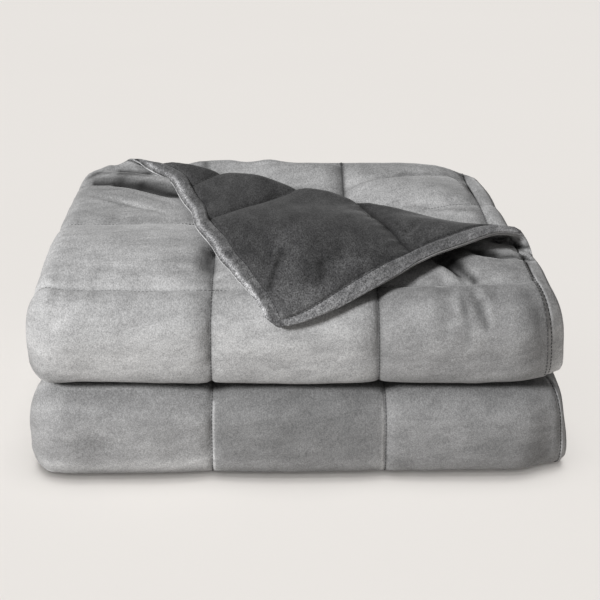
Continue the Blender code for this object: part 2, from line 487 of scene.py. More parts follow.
def strokes(
    kind: type[Stroke],
    *rows: Sequence[float],
    unit: float = MILLIMETRE,
    **settings: Union[Side, float],
) -> tuple[Stroke, ...]:
    """Strokes of one kind from rows of start, end and width in millimetres, then amounts.

    Args:
        kind: Class of the strokes.
        rows: u and v of the start, u and v of the end, width, and the kind's own amounts.
        unit: What the amounts are counted in.
        settings: Fields that all the rows share.

    Returns:
        One stroke a row.
    """
    made = []
    for row in rows:
        u0, v0, u1, v1, width = (length * MILLIMETRE for length in row[:5])
        amounts = [amount * unit for amount in row[5:]]
        made.append(kind((u0, v0), (u1, v1), width, *amounts, **settings))
    return tuple(made)


MARKS = (
    *strokes(
        Mark,
        (75.7, 276, 66.5, 308, 3.6, -2.6),
        (69, 276, 60, 308, 3.6, 1.1),
        (87, 293, 80, 324, 3.6, -2.1),
        (89, 280, 76.5, 326, 4, 1.2),
        (101, 286, 94, 312, 4.5, -1.2),
        (93, 276, 84, 298, 4, -1.2),
        (74, 233, 24, 240, 4.2, -4.2),
        (102, 248, 78, 274.5, 5, 2.2),
        (45, 204, 23, 183, 3.2, -3.8),
        (29, 190, 1, 198.5, 3, -4),
        (25, 208, 2, 230, 3.4, -4),
        (29, 239, 1, 229, 3, -3),
        (283, 220, 277.5, 266, 6.5, -2.6),
        (402, 80, 310, 133, 3, -1.9),
        (400, 98, 330, 122, 4, -1),
        (885, 16, 860, 48, 3.8, -2),
    ),
    *strokes(
        Mark,
        (99, 237, 68, 275.5, 6.2, -5.6),
        (405, 49, 370, 64, 4.2, -4.5),
        (378, 60.5, 302, 101, 4.2, -4.8),
        (395, 16, 340, 24, 5.5, -4.8),
        (986, 54, 930, 45, 4, -2.4),
        (948, 48, 864, 36, 4, -2.4),
        opening=0.08,
    ),
    *strokes(
        Mark,
        (100, 36, 50, 8, 6, -2.4),
        (90, 60, 40, 40, 9, -1.6),
        (48, 112, 74, 142, 3.5, -2.4),
        (170, 90, 150, 30, 12, -1.2),
        side=Side.REVERSE,
    ),
)
SWELLS = strokes(
    Swell,
    (0, 130, 0, 156, 30, 7.5),
    (238, 0, 282, 0, 32, 0, 0, 8.8),
    (85, 0, 110, 0, 30, 0, 0, -4.2),
    (382, 0, 362, 2, 12, 4),
    (398, 28, 318, 67, 10.5, 6.2, 0, 6),
    (424, 300, 424, 345, 30, 4.5),
    (424, 1000, 424, 1040, 30, 2.8),
    (880, 20, 1030, 20, 20, 5),
    (1062, 6, 1087, 6, 23, 11.2),
    (1128, -4, 1160, -4, 34, 21.6),
    (11, 0, 16, 0, 10, 0, 0, -4.2),
    (0, 0, 0, 1, 7, 0, 2.4, 1.2),
)


@dataclass(frozen=True)
class Pull:
    """A place of the folded stack where all layers give way together, most at its centre."""

    centre: ARRAY
    reach: ARRAY
    move: ARRAY

    def pulled(self, points: ARRAY) -> ARRAY:
        """Points after the pull."""
        squared = ((points - self.centre) / self.reach) ** 2
        return points + np.exp(-squared.sum(axis=-1))[..., None] * self.move


# Centre, reach and move of every pull, in millimetres.
PULLS = tuple(
    Pull(*np.reshape(row, (3, 3)) * MILLIMETRE)
    for row in (
        (170, 165, 160, 48, 60, 90, 0, 0, -9.5),
        (-200, 165, 160, 22, 30, 60, 0, 0, -3),
        (-130, 150, 168, 30, 30, 40, -6, 0, -1),
        (188, -35, 165, 30, 30, 30, 3.5, -10, -7),
        (110, 6, 182, 62, 34, 16, 0, -3, -8.5),
        (145, -14, 176, 34, 34, 18, 0, -2, -8.5),
        (-180, -150, 84, 80, 60, 20, 0, 0, 3),
        (-122, 84, 165, 60, 30, 12, 0, 0, 3.8),
        (-190, 60, 140, 30, 70, 40, -2.2, 0, 0.8),
    )
)


@dataclass(frozen=True)
class HemDrape:
    """How the right hem is drawn in and curls round the side, by place along the quilt.

    The rows are place, inward draw of the edge, inward draw of the hem's seam, and curl, all in
    millimetres.
    """

    rows: tuple[tuple[float, float, float, float], ...]
    reach: float = 0.085
    curl_reach: float = 0.020
    curl_power: float = 1.6
    smooth: float = 0.010
    samples: int = 7

    def moved(self, u: ARRAY, v: ARRAY, hem: float) -> ARRAY:
        """Draw in u, in v and in height at every place.

        Args:
            u: Place across the cloth.
            v: Place along the cloth.
            hem: Width of the hem.

        Returns:
            The three draws, stacked.
        """
        at_edge, at_seam, curl = (self.drawn(v, column) for column in (1, 2, 3))
        fade = np.clip(1 - (u - hem) / self.reach, 0, 1) ** 2
        in_hem = at_edge + (at_seam - at_edge) * smoothstep(u / hem)
        across = np.where(u < hem, in_hem, at_seam * fade)
        down = -curl * np.clip(1 - u / self.curl_reach, 0, 1) ** self.curl_power
        return np.stack([across, np.zeros(u.shape), down])

    def drawn(self, v: ARRAY, column: int) -> ARRAY:
        """One column of the table at every place, smoothed along the quilt.

        Args:
            v: Place along the cloth.
            column: Which column.

        Returns:
            The draw, in metres.
        """
        table = np.array(self.rows) * MILLIMETRE
        near = np.linspace(-self.smooth, self.smooth, self.samples)
        return np.mean([np.interp(v + step, table[:, 0], table[:, column]) for step in near], axis=0)


RIGHT_HEM = HemDrape(
    rows=(
        (150, 0, 0, 0),
        (176, 6.2, 5, 0),
        (190, 7.8, 8, 0),
        (200, 8.6, 8.2, 1),
        (215, 7.8, 7.4, 2),
        (225, 6.2, 6.2, 3),
        (240, 4.2, 4.8, 4),
        (260, 3.4, 3.4, 5),
        (275, 1.4, 0.2, 6),
        (290, -1.2, -4.4, 8),
        (300, -3, -6.6, 9),
        (320, -3.2, -6.8, 9),
        (338, -2.2, -6, 8),
        (350, -2.4, -5.2, 6),
        (362, -1.8, -2.2, 3),
        (400, 0, 0, 0),
        (940, 0, 0, 0),
        (975, -3, -11, 8),
        (995, -3.6, -14.6, 14),
        (1030, -6.2, -15.8, 11),
        (1045, -6.2, -15, 5),
        (1060, -4.4, -12, 2),
        (1100, 0, 0, 0),
    )
)


@dataclass(frozen=True)
class Quilting:
    """The quilt's seams on one side, and the loft between them."""

    sizes: FoldSizes
    side: Side
    seam_height: float = 0.0014
    hem_height: float = 0.0030
    hem_edge: float = 0.0032
    hem_bead: float = 0.02
    hem_groove: float = 0.0012
    hem_groove_width: float = 0.0012
    turned_hems: PAIR = (0.0190, 0.0115)
    hem_rise: float = 0.45
    groove: float = 0.0040
    groove_share: float = 0.55
    extra_loft: float = 0.0030
    lower_edge: float = 0.0022
    full_reach: float = 0.056
    swell_power: float = 2.2
    pucker_height: float = 0.0010
    pucker_reach: float = 0.013
    pucker_start: float = 0.003
    pucker_cell: PAIR = (0.0080, 0.055)
    pucker_seeds: tuple[int, int] = (3, 40)
    unevenness_height: float = 0.0009
    slow_cell: PAIR = (0.036, 0.042)
    quick_cell: PAIR = (0.015, 0.019)
    quick_share: float = 0.35
    unevenness_seeds: tuple[int, int] = (90, 95)
    inner_seams: int = 3
    inner_rows_up: float = 0.0455
    column_stray: tuple[PAIR, ...] = ((0.35, 0.0015), (0.95, 0.0070))
    stray_reach: float = 0.06
    row_stray: tuple[PAIR, ...] = ((0.0, 0.0050), (0.2, 0.0), (0.3, -0.0020))
    turned_columns: tuple[float, ...] = (0.199, 0.270)
    turned_row: float = 0.1105

    @property
    def seams_u(self) -> tuple[float, ...]:
        """Seams across the width, as places from the hem that shows.

        Returns:
            Their places, the first one in the hem.
        """
        s = self.sizes
        outer = s.outer_seams
        middle_start = s.outer_width + s.left_cloth
        middle = [middle_start + s.hem_x - u - s.left_bend_x for u in outer[2:0:-1]]
        first = s.inner_start + s.right_bend_x - s.inner_seam_x
        inner = [first + s.square * index for index in range(self.inner_seams)]
        if self.side is Side.REVERSE:
            outer = (self.hems[0], *self.turned_columns, outer[3])
        return (*outer, *middle, *inner, s.cloth_width - s.hem)

    @property
    def drawn_u(self) -> tuple[float, ...]:
        """Seams across the width, with the places to which the second one strays."""
        second = self.sizes.outer_seams[1]
        return (*self.seams_u, *(second - stray for _, stray in self.column_stray))

    @property
    def drawn_v(self) -> tuple[float, ...]:
        """Seams along the length, with the places to which the front one strays."""
        front = self.sizes.hem + 2 * self.sizes.square
        return (*self.seams_v, *(front - stray for _, stray in self.row_stray if stray))

    @property
    def seams_v(self) -> tuple[float, ...]:
        """Seams along the length, as places from the end on top.

        Returns:
            Their places, the first one in the end's hem.
        """
        s = self.sizes
        rows = [s.hem + s.square * index for index in range(s.squares_along + 1)]
        if self.side is Side.REVERSE:
            rows[:2] = self.hems[1], self.turned_row
        return tuple(rows)

    def beside_column(self, u: ARRAY, v: ARRAY) -> ARRAY:
        """Place beside the nearest seam that runs along the length, less than 0 to its right.

        Args:
            u: Place across the cloth.
            v: Place along the cloth.

        Returns:
            Distances, with their sign.
        """
        near = np.exp(-(((u - self.sizes.outer_seams[1]) / self.stray_reach) ** 2))
        strayed = u + near * np.interp(v, *zip(*self.column_stray)) * (self.side is Side.FACE)
        beside = strayed[..., None] - np.array(self.seams_u[1:-1])
        nearest = np.argmin(np.abs(beside), axis=-1)[..., None]
        return np.take_along_axis(beside, nearest, axis=-1)[..., 0]

    def to_column(self, u: ARRAY, v: ARRAY) -> ARRAY:
        """Distance to the nearest seam that runs along the length."""
        return np.abs(self.beside_column(u, v))

    def to_row(self, u: ARRAY, v: ARRAY) -> ARRAY:
        """Distance to the nearest seam that runs across the width.

        Args:
            u: Place across the cloth.
            v: Place along the cloth.

        Returns:
            Distances, 0 or more.
        """
        lowered = v + self.inner_rows_up * (u > self.sizes.inner_start - self.sizes.right_cloth)
        lowered = lowered + np.interp(u, *zip(*self.row_stray)) * (self.side is Side.FACE)
        return np.min(np.abs(lowered[..., None] - np.array(self.seams_v[1:-1])), axis=-1)

    def swell(self, distance: ARRAY) -> ARRAY:
        """Share of the slow swell at a distance from a seam."""
        return 1 - (1 - np.clip(distance / self.full_reach, 0, 1)) ** self.swell_power

    def pillow(self, distance: ARRAY) -> ARRAY:
        """Share of the full loft at a distance from a seam: a sharp groove, then a slow swell.

        Args:
            distance: Distance to the seam.

        Returns:
            Shares between 0 and 1.
        """
        swell = self.swell(distance)
        groove = 1 - np.exp(-distance / self.groove)
        return self.groove_share * groove + (1 - self.groove_share) * swell

    @property
    def hems(self) -> PAIR:
        """Widths of the hems along the length and along the end on top."""
        return self.turned_hems if self.side is Side.REVERSE else (self.sizes.hem, self.sizes.hem)

    def to_edge(self, u: ARRAY, v: ARRAY) -> ARRAY:
        """Distance to the quilt's edge."""
        s = self.sizes
        return np.minimum.reduce([u, v, s.cloth_width - u, s.cloth_length - v])

    def past_hem(self, u: ARRAY, v: ARRAY) -> ARRAY:
        """Distance past the hem's seam, less than 0 in the hem.

        Args:
            u: Place across the cloth.
            v: Place along the cloth.

        Returns:
            Distances, with their sign.
        """
        s = self.sizes
        side, end = self.hems
        far = np.minimum(s.cloth_width - u, s.cloth_length - v) - s.hem
        return np.minimum.reduce([u - side, v - end, far])

    def in_hems(self, u: ARRAY, v: ARRAY, blend: float) -> tuple[ARRAY, ARRAY]:
        """Shares by which a place lies in the hem along the length and in the end's hem."""
        side, end = self.hems
        return smoothstep((side - u) / blend + 0.5), smoothstep((end - v) / blend + 0.5)

    def loft(self, u: ARRAY, v: ARRAY) -> ARRAY:
        """Height of one panel over the middle surface, with the hem flat.

        Args:
            u: Place across the cloth.
            v: Place along the cloth.

        Returns:
            Heights, in metres.
        """
        s = self.sizes
        edge, past = self.to_edge(u, v), self.past_hem(u, v)
        puffed = self.pillow(self.to_column(u, v)) * self.pillow(self.to_row(u, v))
        puffed = puffed * (self.hem_rise + (1 - self.hem_rise) * self.swell(past))
        puffed = self.seam_height + (s.quilt / 2 - self.seam_height) * puffed
        in_hem = smoothstep(0.5 - past / self.hem_edge)
        round_off = 1 - (1 - edge / self.hem_edge).clip(0, 1) ** 2
        bead = np.sqrt(np.clip(round_off, self.hem_bead, 1))
        surface = puffed * (1 - in_hem) + self.hem_height * bead * in_hem
        return surface - self.hem_groove * np.exp(-((past / self.hem_groove_width) ** 2))

    def puckers(self, u: ARRAY, v: ARRAY) -> ARRAY:
        """Small gathers that run out from the seams.

        Args:
            u: Place across the cloth.
            v: Place along the cloth.

        Returns:
            Heights, in metres.
        """
        total = np.zeros(u.shape)
        length, run = self.pucker_cell
        gathers = ((self.to_column(u, v), v, u), (self.to_row(u, v), u, v))
        for (distance, along, other), seed in zip(gathers, self.pucker_seeds):
            wave = lattice_noise(along / length, other / run, seed + self.side.value)
            start = np.clip(distance / self.pucker_start, 0, 1)
            total = total + self.pucker_height * wave * start * np.exp(-distance / self.pucker_reach)
        return total

    def unevenness(self, u: ARRAY, v: ARRAY) -> ARRAY:
        """Slow unevenness of the fill.

        Args:
            u: Place across the cloth.
            v: Place along the cloth.

        Returns:
            Heights, in metres.
        """
        slow, quick = (
            lattice_noise(u / cell[0], v / cell[1], seed + self.side.value)
            for cell, seed in zip((self.slow_cell, self.quick_cell), self.unevenness_seeds)
        )
        return self.unevenness_height * (slow + self.quick_share * quick)


@dataclass(frozen=True)
class PaintedLightAndRuffle:
    """Painted light and shade in the pile's colour by square, in the hems, beside seams and in
    streaks; and the pile's ruffle.
    """

    columns: tuple[float, ...]
    rows: tuple[float, ...]
    tones: tuple[tuple[float, ...], ...]
    streaks: tuple[Stroke, ...]
    blend: float = 0.007
    hem_blend: float = 0.002
    ruffle_blend: float = 0.003
    side_ruffle: float = 0.45
    hem_painted_light: float = 1.0
    end_hem_painted_light: float = 1.0
    tip_painted_light: float = 1.0
    tip_reach: float = 0.060
    seam_shade_depth: float = 0.42
    seam_width: float = 0.0010
    shade_depth: float = 0.36
    low_gleam: float = 0.45
    shade_reach: PAIR = (0.0050, 0.0105)
    shade_spread: PAIR = (0.55, 0.90)
    shade_cell: PAIR = (0.011, 0.030)
    shade_seed: int = 7
    turned_reach: float = 0.400

    def by_square(self, u: ARRAY, v: ARRAY) -> ARRAY:
        """Painted light and shade of the square that a place lies in, blended over the seams.

        Args:
            u: Place across the cloth.
            v: Place along the cloth.

        Returns:
            Factors for the colour.
        """
        total = np.zeros(u.shape)
        for row, tones in enumerate(self.tones):
            in_row = self.inside(v, self.rows, row)
            for column, tone in enumerate(tones):
                total = total + tone * in_row * self.inside(u, self.columns, column)
        return total

    def inside(self, place: ARRAY, edges: Sequence[float], index: int) -> ARRAY:
        """Share by which a place lies in one stretch between the given edges.

        Args:
            place: Place across or along the cloth.
            edges: Where the stretches meet.
            index: Number of the stretch.

        Returns:
            Shares between 0 and 1.
        """
        share = np.ones(place.shape)
        if index > 0:
            share = share * smoothstep((place - edges[index - 1]) / self.blend + 0.5)
        if index < len(edges):
            share = share * (1 - smoothstep((place - edges[index]) / self.blend + 0.5))
        return share

    def beside_seams(self, u: ARRAY, v: ARRAY, quilting: Quilting) -> ARRAY:
        """Painted shade in and beside the seams along the length, and a painted highlight beside them
        on the lower tier.

        Args:
            u: Place across the cloth.
            v: Place along the cloth.
            quilting: The seams and hems of this side.

        Returns:
            Factors for the tone.
        """
        beside = quilting.beside_column(u, v)
        along, across = self.shade_cell
        wave = 0.5 + 0.5 * lattice_noise(v / along, u / across, self.shade_seed)
        least, more = self.shade_spread
        reach = np.where(beside < 0, *self.shade_reach) * (least + more * wave)
        depth = np.where(v < self.rows[-1], self.shade_depth, -self.low_gleam * (beside > 0))
        shade = depth * np.exp(-np.abs(beside) / reach)
        # A thin line of painted shade along each seam.
        line = self.seam_shade_depth * np.exp(-((beside / self.seam_width) ** 2))
        return (1 - shade) * (1 - line)

    def fluff(self, u: ARRAY, v: ARRAY, quilting: Quilting) -> ARRAY:
        """How ruffled the pile is at every place: most in the turned hem along the end.

        Args:
            u: Place across the cloth.
            v: Place along the cloth.
            quilting: The seams and hems of this side.

        Returns:
            Shares between 0 and 1.
        """
        if quilting.side is Side.FACE:
            return np.zeros(u.shape)
        in_side, in_end = quilting.in_hems(u, v, self.ruffle_blend)
        return np.maximum(in_end * (u < self.turned_reach), self.side_ruffle * in_side)

    def tone(self, u: ARRAY, v: ARRAY, quilting: Quilting) -> ARRAY:
        """Painted light and shade of the pile at every place.

        Args:
            u: Place across the cloth.
            v: Place along the cloth.
            quilting: The seams and hems of this side.

        Returns:
            Factors for the colour.
        """
        total = self.by_square(u, v)
        total = total * (1 + (self.tip_painted_light - 1) * np.exp(-(u**2 + v**2) / self.tip_reach**2))
        if quilting.side is Side.FACE:
            total = total * self.beside_seams(u, v, quilting)
        else:
            # Painted light on the reverse's hems.
            in_side, in_end = quilting.in_hems(u, v, self.hem_blend)
            total = total + (self.hem_painted_light - total) * in_side
            total = total + (self.end_hem_painted_light - total) * in_end
        for streak in self.streaks:
            total = total * (1 + (streak.amount - 1) * streak.share(u, v))
        return total


FACE_PAINTED_LIGHT = PaintedLightAndRuffle(
    columns=(0.016, 0.149, 0.274, 0.640),
    rows=(0.1455, 0.275, 0.600),
    # Painted light and shade by square: squares turned from the key light at the left read darker,
    # and the lower tier darkest.
    tones=(
        (0.62, 0.62, 0.80, 0.61, 0.66),
        (0.66, 0.56, 0.82, 0.88, 0.66),
        (0.78, 0.51, 0.76, 0.85, 0.66),
        (0.60, 0.41, 0.355, 0.52, 0.56),
    ),
    streaks=strokes(
        PaintedLightStreak,
        # Painted shade under the open roll at the left and in the creases in front of it; painted
        # light on the roll and along the end's edge.
        (398, 61, 388, 63.5, 1.6, 0.4),
        (20, 0, 330, 0, 3.6, 1.34),
        (369, 83, 349, 89, 4, 1.22),
        (349, 89, 318, 103, 4.4, 1.24),
        (396, 44, 369, 55.5, 5.4, 0.48),
        (369, 55.5, 315, 81.5, 6.6, 0.42),
        (396, 49.6, 369, 62, 3.6, 0.06),
        (369, 62, 349, 71.6, 4.2, 0.02),
        (349, 71.6, 314, 91.6, 4.8, 0.01),
        (396, 72, 370, 79, 2, 0.8),
        (370, 79, 320, 109, 2.4, 0.78),
        (370, 44, 342, 52, 5, 0.22),
        (370, 12, 340, 15, 6.2, 0.14),
        (400, 35, 380, 39, 3, 0.55),
        (402, 38, 386, 30, 2.6, 0.5),
        (376, 7, 350, 8, 1.5, 1.5),
        (400, 113, 320, 124, 17, 1.18),
        (400, 134.5, 320, 134.5, 7, 1.17),
        (395, 150, 345, 151, 6.2, 0.79),
        (392.9, 87.5, 372.4, 102.1, 1.6, 0.72),
        (372.4, 102.1, 335.9, 119.8, 1.8, 0.66),
        (335.9, 119.8, 321.8, 129.3, 1.8, 0.82),
        (364, 101.2, 328, 119, 1.4, 1.2),
        (393.6, 119.8, 366, 138.1, 1.8, 0.78),
        (406, 70, 402, 80, 4.2, 0.74),
        (400, 164, 360, 170, 10, 0.84),
        # Painted shade in the gathers where the slanting crease meets the right hem; painted light
        # along that hem's edge.
        (85, 244, 70.8, 269, 3.4, 0.16),
        (93, 249, 81, 250, 6.6, 0.1),
        (125, 243, 80, 236, 10, 0.1),
        (100, 215, 62, 220, 8, 0.16),
        (85, 230, 28, 236.5, 2.8, 0.22),
        (43, 202, 34, 191, 3, 0.16),
        (32.3, 182.6, 18.9, 180.6, 2, 0.16),
        (18.9, 180.6, 12.3, 190.7, 1.9, 0.24),
        (22, 187, 14.7, 193.6, 1.9, 0.24),
        (14.7, 193.6, 1, 196.8, 2.2, 0.16),
        (8, 185, 4, 190, 3.2, 1.6),
        (24.5, 223.2, 18.4, 230.5, 2.2, 0.25),
        (18.4, 230.5, 5, 227.2, 2.2, 0.16),
        (2, 235, 2, 350, 7, 1.34),
        (16, 206, 5, 212, 3.6, 1.3),
        (78, 231.5, 48, 233.5, 4.6, 0.1),
        # Painted shade and light on the puckers and patches towards the upper tier's front.
        (96.5, 292, 94, 298.5, 3, 0.74),
        (90.5, 288, 86.5, 302, 3.2, 1.22),
        (84.3, 290, 81.2, 313, 3, 0.58),
        (78.5, 296, 75.5, 307, 3, 1.22),
        (70.5, 291, 67.5, 303.5, 3, 0.52),
        (63, 291, 64, 306, 3.4, 1.2),
        (35.6, 284, 29, 300, 6.2, 0.8),
        (29, 300, 26.2, 320, 5, 0.78),
        (48, 294, 44, 315, 7, 1.08),
        (118, 300, 105, 318, 12, 1.06),
        (280.5, 218, 277, 248, 6.2, 0.24),
        (412, 300, 412, 335, 14, 0.9),
        (418, 352, 398, 352, 15, 0.64),
        (372, 340, 356, 340, 10, 1.1),
        (140, 284, 60, 284, 8, 0.93),
        # Painted light on the lower tier: along its bottom rim, on patches, and in strips beside its
        # seams.
        (400, 1033, 280, 1033, 6.2, 1.6),
        (265, 1033, 150, 1033, 6.2, 1.36),
        (25, 985, 23, 1015, 10, 1.34),
        (415, 976, 300, 974, 5, 1.3),
        (370, 985, 358, 1004, 10, 1.08),
        (342, 1014.6, 320, 1018, 10, 1.1),
        (93.8, 990, 88, 1005, 8, 1.1),
        (46.4, 990, 40, 1010, 9, 1.14),
        (272.7, 985, 272.7, 1055, 1, 2),
        (144.6, 980, 144.6, 1058, 1.4, 1.75),
        # Painted shade and light on the back square beyond the roll: along its seam and crease, and
        # in patches.
        (986.2, 0, 986.2, 100, 1.2, 0.32),
        (983.6, 55, 957.5, 53.5, 2.2, 0.74),
        (957.5, 53.5, 928.2, 42.5, 2.2, 0.72),
        (928.2, 42.5, 867.8, 35, 2.2, 0.74),
        (948, 56, 885, 48, 6, 1.1),
        (925, 94, 879, 112.5, 2.6, 0.72),
        (879, 112.5, 860, 118, 2.6, 0.72),
        (905, 108.5, 862, 125, 3.6, 1.16),
        (985, 24, 935, 5, 16, 0.82),
        unit=1.0,
    ),
)
REVERSE_PAINTED_LIGHT = PaintedLightAndRuffle(
    columns=(0.199,),
    rows=(0.1105,),
    tones=((0.78, 0.84), (0.84, 0.84)),
    streaks=strokes(
        PaintedLightStreak,
        # Painted light and shade on the hems of the turned corner and along its seams.
        (19, 0.4, 350, 0.4, 2.6, 3.2),
        (180, 1, 330, 1, 4, 1.3),
        (19, 5.8, 180, 5.8, 2.4, 0.84),
        (30, 12.3, 240, 12.3, 1.2, 0.52),
        (1, 170, 1, 199, 3.4, 2),
        (22, 9.8, 200, 9.8, 1.3, 1.55),
        (8, 92, 8, 130, 13, 0.66),
        (150, 110.9, 22, 110.7, 1.7, 0.28),
        (150, 115, 30, 114, 4.4, 0.86),
        (19, 10, 350, 10, 1.1, 1.45),
        (10, 0, 10, 160, 4, 0.88),
        # Painted shade in its creases, and painted light and shade in patches.
        (76, 27.5, 56, 14.5, 2.4, 0.26),
        (90, 34.5, 76, 27.5, 2.6, 0.5),
        (118, 48, 98, 36, 8.5, 1.45),
        (88, 45, 64, 33, 7, 1.45),
        (52.4, 52.4, 39, 48, 4.2, 0.42),
        (87, 60, 56, 50, 6, 0.7),
        (70, 68, 48, 64, 6, 0.72),
        (42, 62, 30, 80, 7, 1.4),
        (33, 30, 27, 56, 7, 1.25),
        (270, 30, 300, 18, 10, 0.74),
        unit=1.0,
    ),
    # Painted light on the reverse's hems and the corner's tip, where the pile catches the light.
    hem_painted_light=3.1,
    end_hem_painted_light=1.85,
    tip_painted_light=2.20,
)
PAINTED_LIGHT_AND_RUFFLE = {Side.FACE: FACE_PAINTED_LIGHT, Side.REVERSE: REVERSE_PAINTED_LIGHT}


def smooth_object(name: str, points: ARRAY, faces: list[list[int]]) -> bpy.types.Object:
    """Make a smooth mesh and put it in the scene.

    Args:
        name: Name of the mesh and of its object.
        points: One point a row, in metres.
        faces: Point numbers of every face.

    Returns:
        The object.
    """
    mesh = bpy.data.meshes.new(name)
    mesh.from_pydata(points.tolist(), [], faces)
    mesh.polygons.foreach_set("use_smooth", np.ones(len(faces), bool))
    mesh.update()
    made = bpy.data.objects.new(name, mesh)
    bpy.context.scene.collection.objects.link(made)
    return made


@dataclass(frozen=True)
class PanelSkin:
    """One side of the quilt as a finely cut skin, folded like the solid that it replaces."""

    stack: FoldedStack
    side: Side
    node: str
    seam_gaps: TRIPLE = (0.0013, 0.0029, 0.0052)
    seam_clearance: float = 0.0009
    line_clearance: float = 0.0016
    over_start: float = 0.6
    over_reach: float = 0.010
    turned_flat: float = 0.85
    turn_fade: float = 0.18
    low_power: float = 0.6
    outer_end: float = 0.6
    outer_fade: float = 0.010
    inner_fade: float = 0.020
    lower_from: float = 0.35
    loft_power: float = 1.5
    edge_calm: float = 0.006
    edge_share: float = 0.15
    thinnest: float = 0.0007
    end_curl: float = 0.009
    curl_power: float = 1.5

    @property
    def quilting(self) -> Quilting:
        """Seams and loft of this side."""
        return Quilting(self.stack.sizes, self.side)

    def with_seams(self, lines: ARRAY, seams: Sequence[float], start: float, end: float) -> ARRAY:
        """Add close grid lines beside each seam of a finely cut stretch.

        Args:
            lines: Even grid lines.
            seams: Places of the seams.
            start: Where the finely cut stretch starts.
            end: Where it ends.

        Returns:
            All lines in order.
        """
        low, high = lines[0], lines[-1]
        kept = [low, high, *(seam for seam in seams if low < seam < high)]
        shown = [seam for seam in seams if start <= seam <= end]
        for line in (seam + way * gap for gap in self.seam_gaps for seam in shown for way in (-1, 1)):
            if min(abs(line - other) for other in kept) > self.seam_clearance:
                kept.append(line)
        clear = self.line_clearance
        far = [line for line in lines if min(abs(line - other) for other in kept) > clear]
        return np.array(sorted(set(kept + far)))

    def columns(self) -> ARRAY:
        """Grid lines across the width, close together where the cloth shows.

        Returns:
            Their places, in order.
        """
        s = self.stack.sizes
        middle = s.outer_width + s.left_cloth
        stops = (
            (0.0, 0.016, 0.0020),
            (0.016, 0.045, 0.0026),
            (0.045, 0.110, 0.0022),
            (0.110, 0.300, 0.0042),
            (0.300, s.outer_width, 0.0020),
            (s.outer_width, middle, 0.0032),
            (middle, middle + s.inner_span, 0.0140),
            (middle + s.inner_span, s.inner_start, 0.0024),
            (s.inner_start, s.inner_start + 0.300, 0.0056),
            (s.inner_start + 0.300, s.cloth_width, 0.0100),
        )
        return self.with_seams(self.lines(stops), self.quilting.drawn_u, 0.0, s.outer_width)

    def rows(self) -> ARRAY:
        """Grid lines along the length, close together where the cloth shows.

        Returns:
            Their places, in order.
        """
        s = self.stack.sizes
        back = s.first_turn_end + s.pass_length
        second_end = s.second_turn_start + s.bend_cloth
        stops = (
            (0.0, 0.016, 0.0020),
            (0.016, 0.050, 0.0022),
            (0.050, 0.105, 0.0015),
            (0.105, 0.150, 0.0026),
            (0.150, 0.190, 0.0042),
            (0.190, s.top_length, 0.0022),
            (s.top_length, s.first_turn_end, 0.0027),
            (s.first_turn_end, back, 0.0150),
            (back, back + s.bend_cloth, 0.0055),
            (back + s.bend_cloth, s.second_turn_start, 0.0150),
            (s.second_turn_start, second_end, 0.0028),
            (second_end, s.cloth_length, 0.0150),
        )
        return self.with_seams(self.lines(stops), self.quilting.drawn_v, 0.0, s.first_turn_end)

    def lines(self, stops: Sequence[TRIPLE]) -> ARRAY:
        """Even grid lines from stretches of (start, end, spacing).

        Args:
            stops: Start, end and spacing of every stretch.

        Returns:
            Their places, in order.
        """
        parts = [
            np.linspace(start, end, max(1, math.ceil((end - start) / spacing)), endpoint=False)
            for start, end, spacing in stops
        ]
        return np.append(np.concatenate(parts), stops[-1][1])

    def exposed(self, u: ARRAY, v: ARRAY) -> ARRAY:
        """Share of the relief that a place may show without meeting the next layer.

        Args:
            u: Place across the cloth.
            v: Place along the cloth.

        Returns:
            Shares between 0 and 1.
        """
        s = self.stack.sizes
        past = self.stack.past_crease(u, v)
        start = self.over_start * math.pi * s.crease_radius
        over = smoothstep((past - start) / self.over_reach)
        if self.side is Side.REVERSE:
            return over * (u < s.outer_width)
        first = np.clip((v - s.top_length) / s.bend_cloth, 0, 1)
        second = np.clip((v - s.second_turn_start) / s.bend_cloth, 0, 1)
        top = (v <= s.first_turn_end) * smoothstep((1 - first) / self.turn_fade)
        low = np.sin(np.pi * second) ** self.low_power * (second > 0) * (second < 1)
        outer_end = s.outer_width + self.outer_end * s.left_cloth
        outer = smoothstep((outer_end - u) / self.outer_fade)
        uncovered = self.stack.past_crease(s.hem_x - (s.right_bend_x - (u - s.inner_start)), v)
        inner = smoothstep(uncovered / self.inner_fade - 1) * (u > s.inner_start) * (v < s.top_length)
        return np.maximum(outer * np.maximum(top, low) * (1 - self.turned_flat * over), inner)

    def height(self, u: ARRAY, v: ARRAY) -> ARRAY:
        """Height of this side's surface over the middle surface.

        Args:
            u: Place across the cloth.
            v: Place along the cloth.

        Returns:
            Heights, in metres.
        """
        s, quilting = self.stack.sizes, self.quilting
        relief = quilting.puckers(u, v) + quilting.unevenness(u, v)
        for mark in MARKS:
            if mark.side is self.side:
                relief = relief + mark.relief(u, v)
        surface, seam = quilting.loft(u, v), quilting.seam_height
        swollen = np.clip((surface - seam) / (s.quilt / 2 - seam), 0, 1) ** self.loft_power
        low = smoothstep((v - s.top_length) / s.bend_cloth / self.lower_from - 1)
        low = low * (v < s.first_turn_end)
        relief = relief + (quilting.extra_loft * (1 - low) - quilting.lower_edge * low) * swollen
        relief = relief * np.clip(quilting.to_edge(u, v) / self.edge_calm, self.edge_share, 1)
        surface = np.maximum(surface + relief * self.exposed(u, v), self.thinnest)
        if self.side is Side.FACE:
            share = (v - s.second_turn_start) / s.bend_cloth
            last = smoothstep((share - s.pressed_from) / (1 - s.pressed_from))
            across = 1 - smoothstep((u - s.outer_width) / s.left_cloth)
            surface = surface + (s.quilt / 2 - surface) * last * across
        return surface

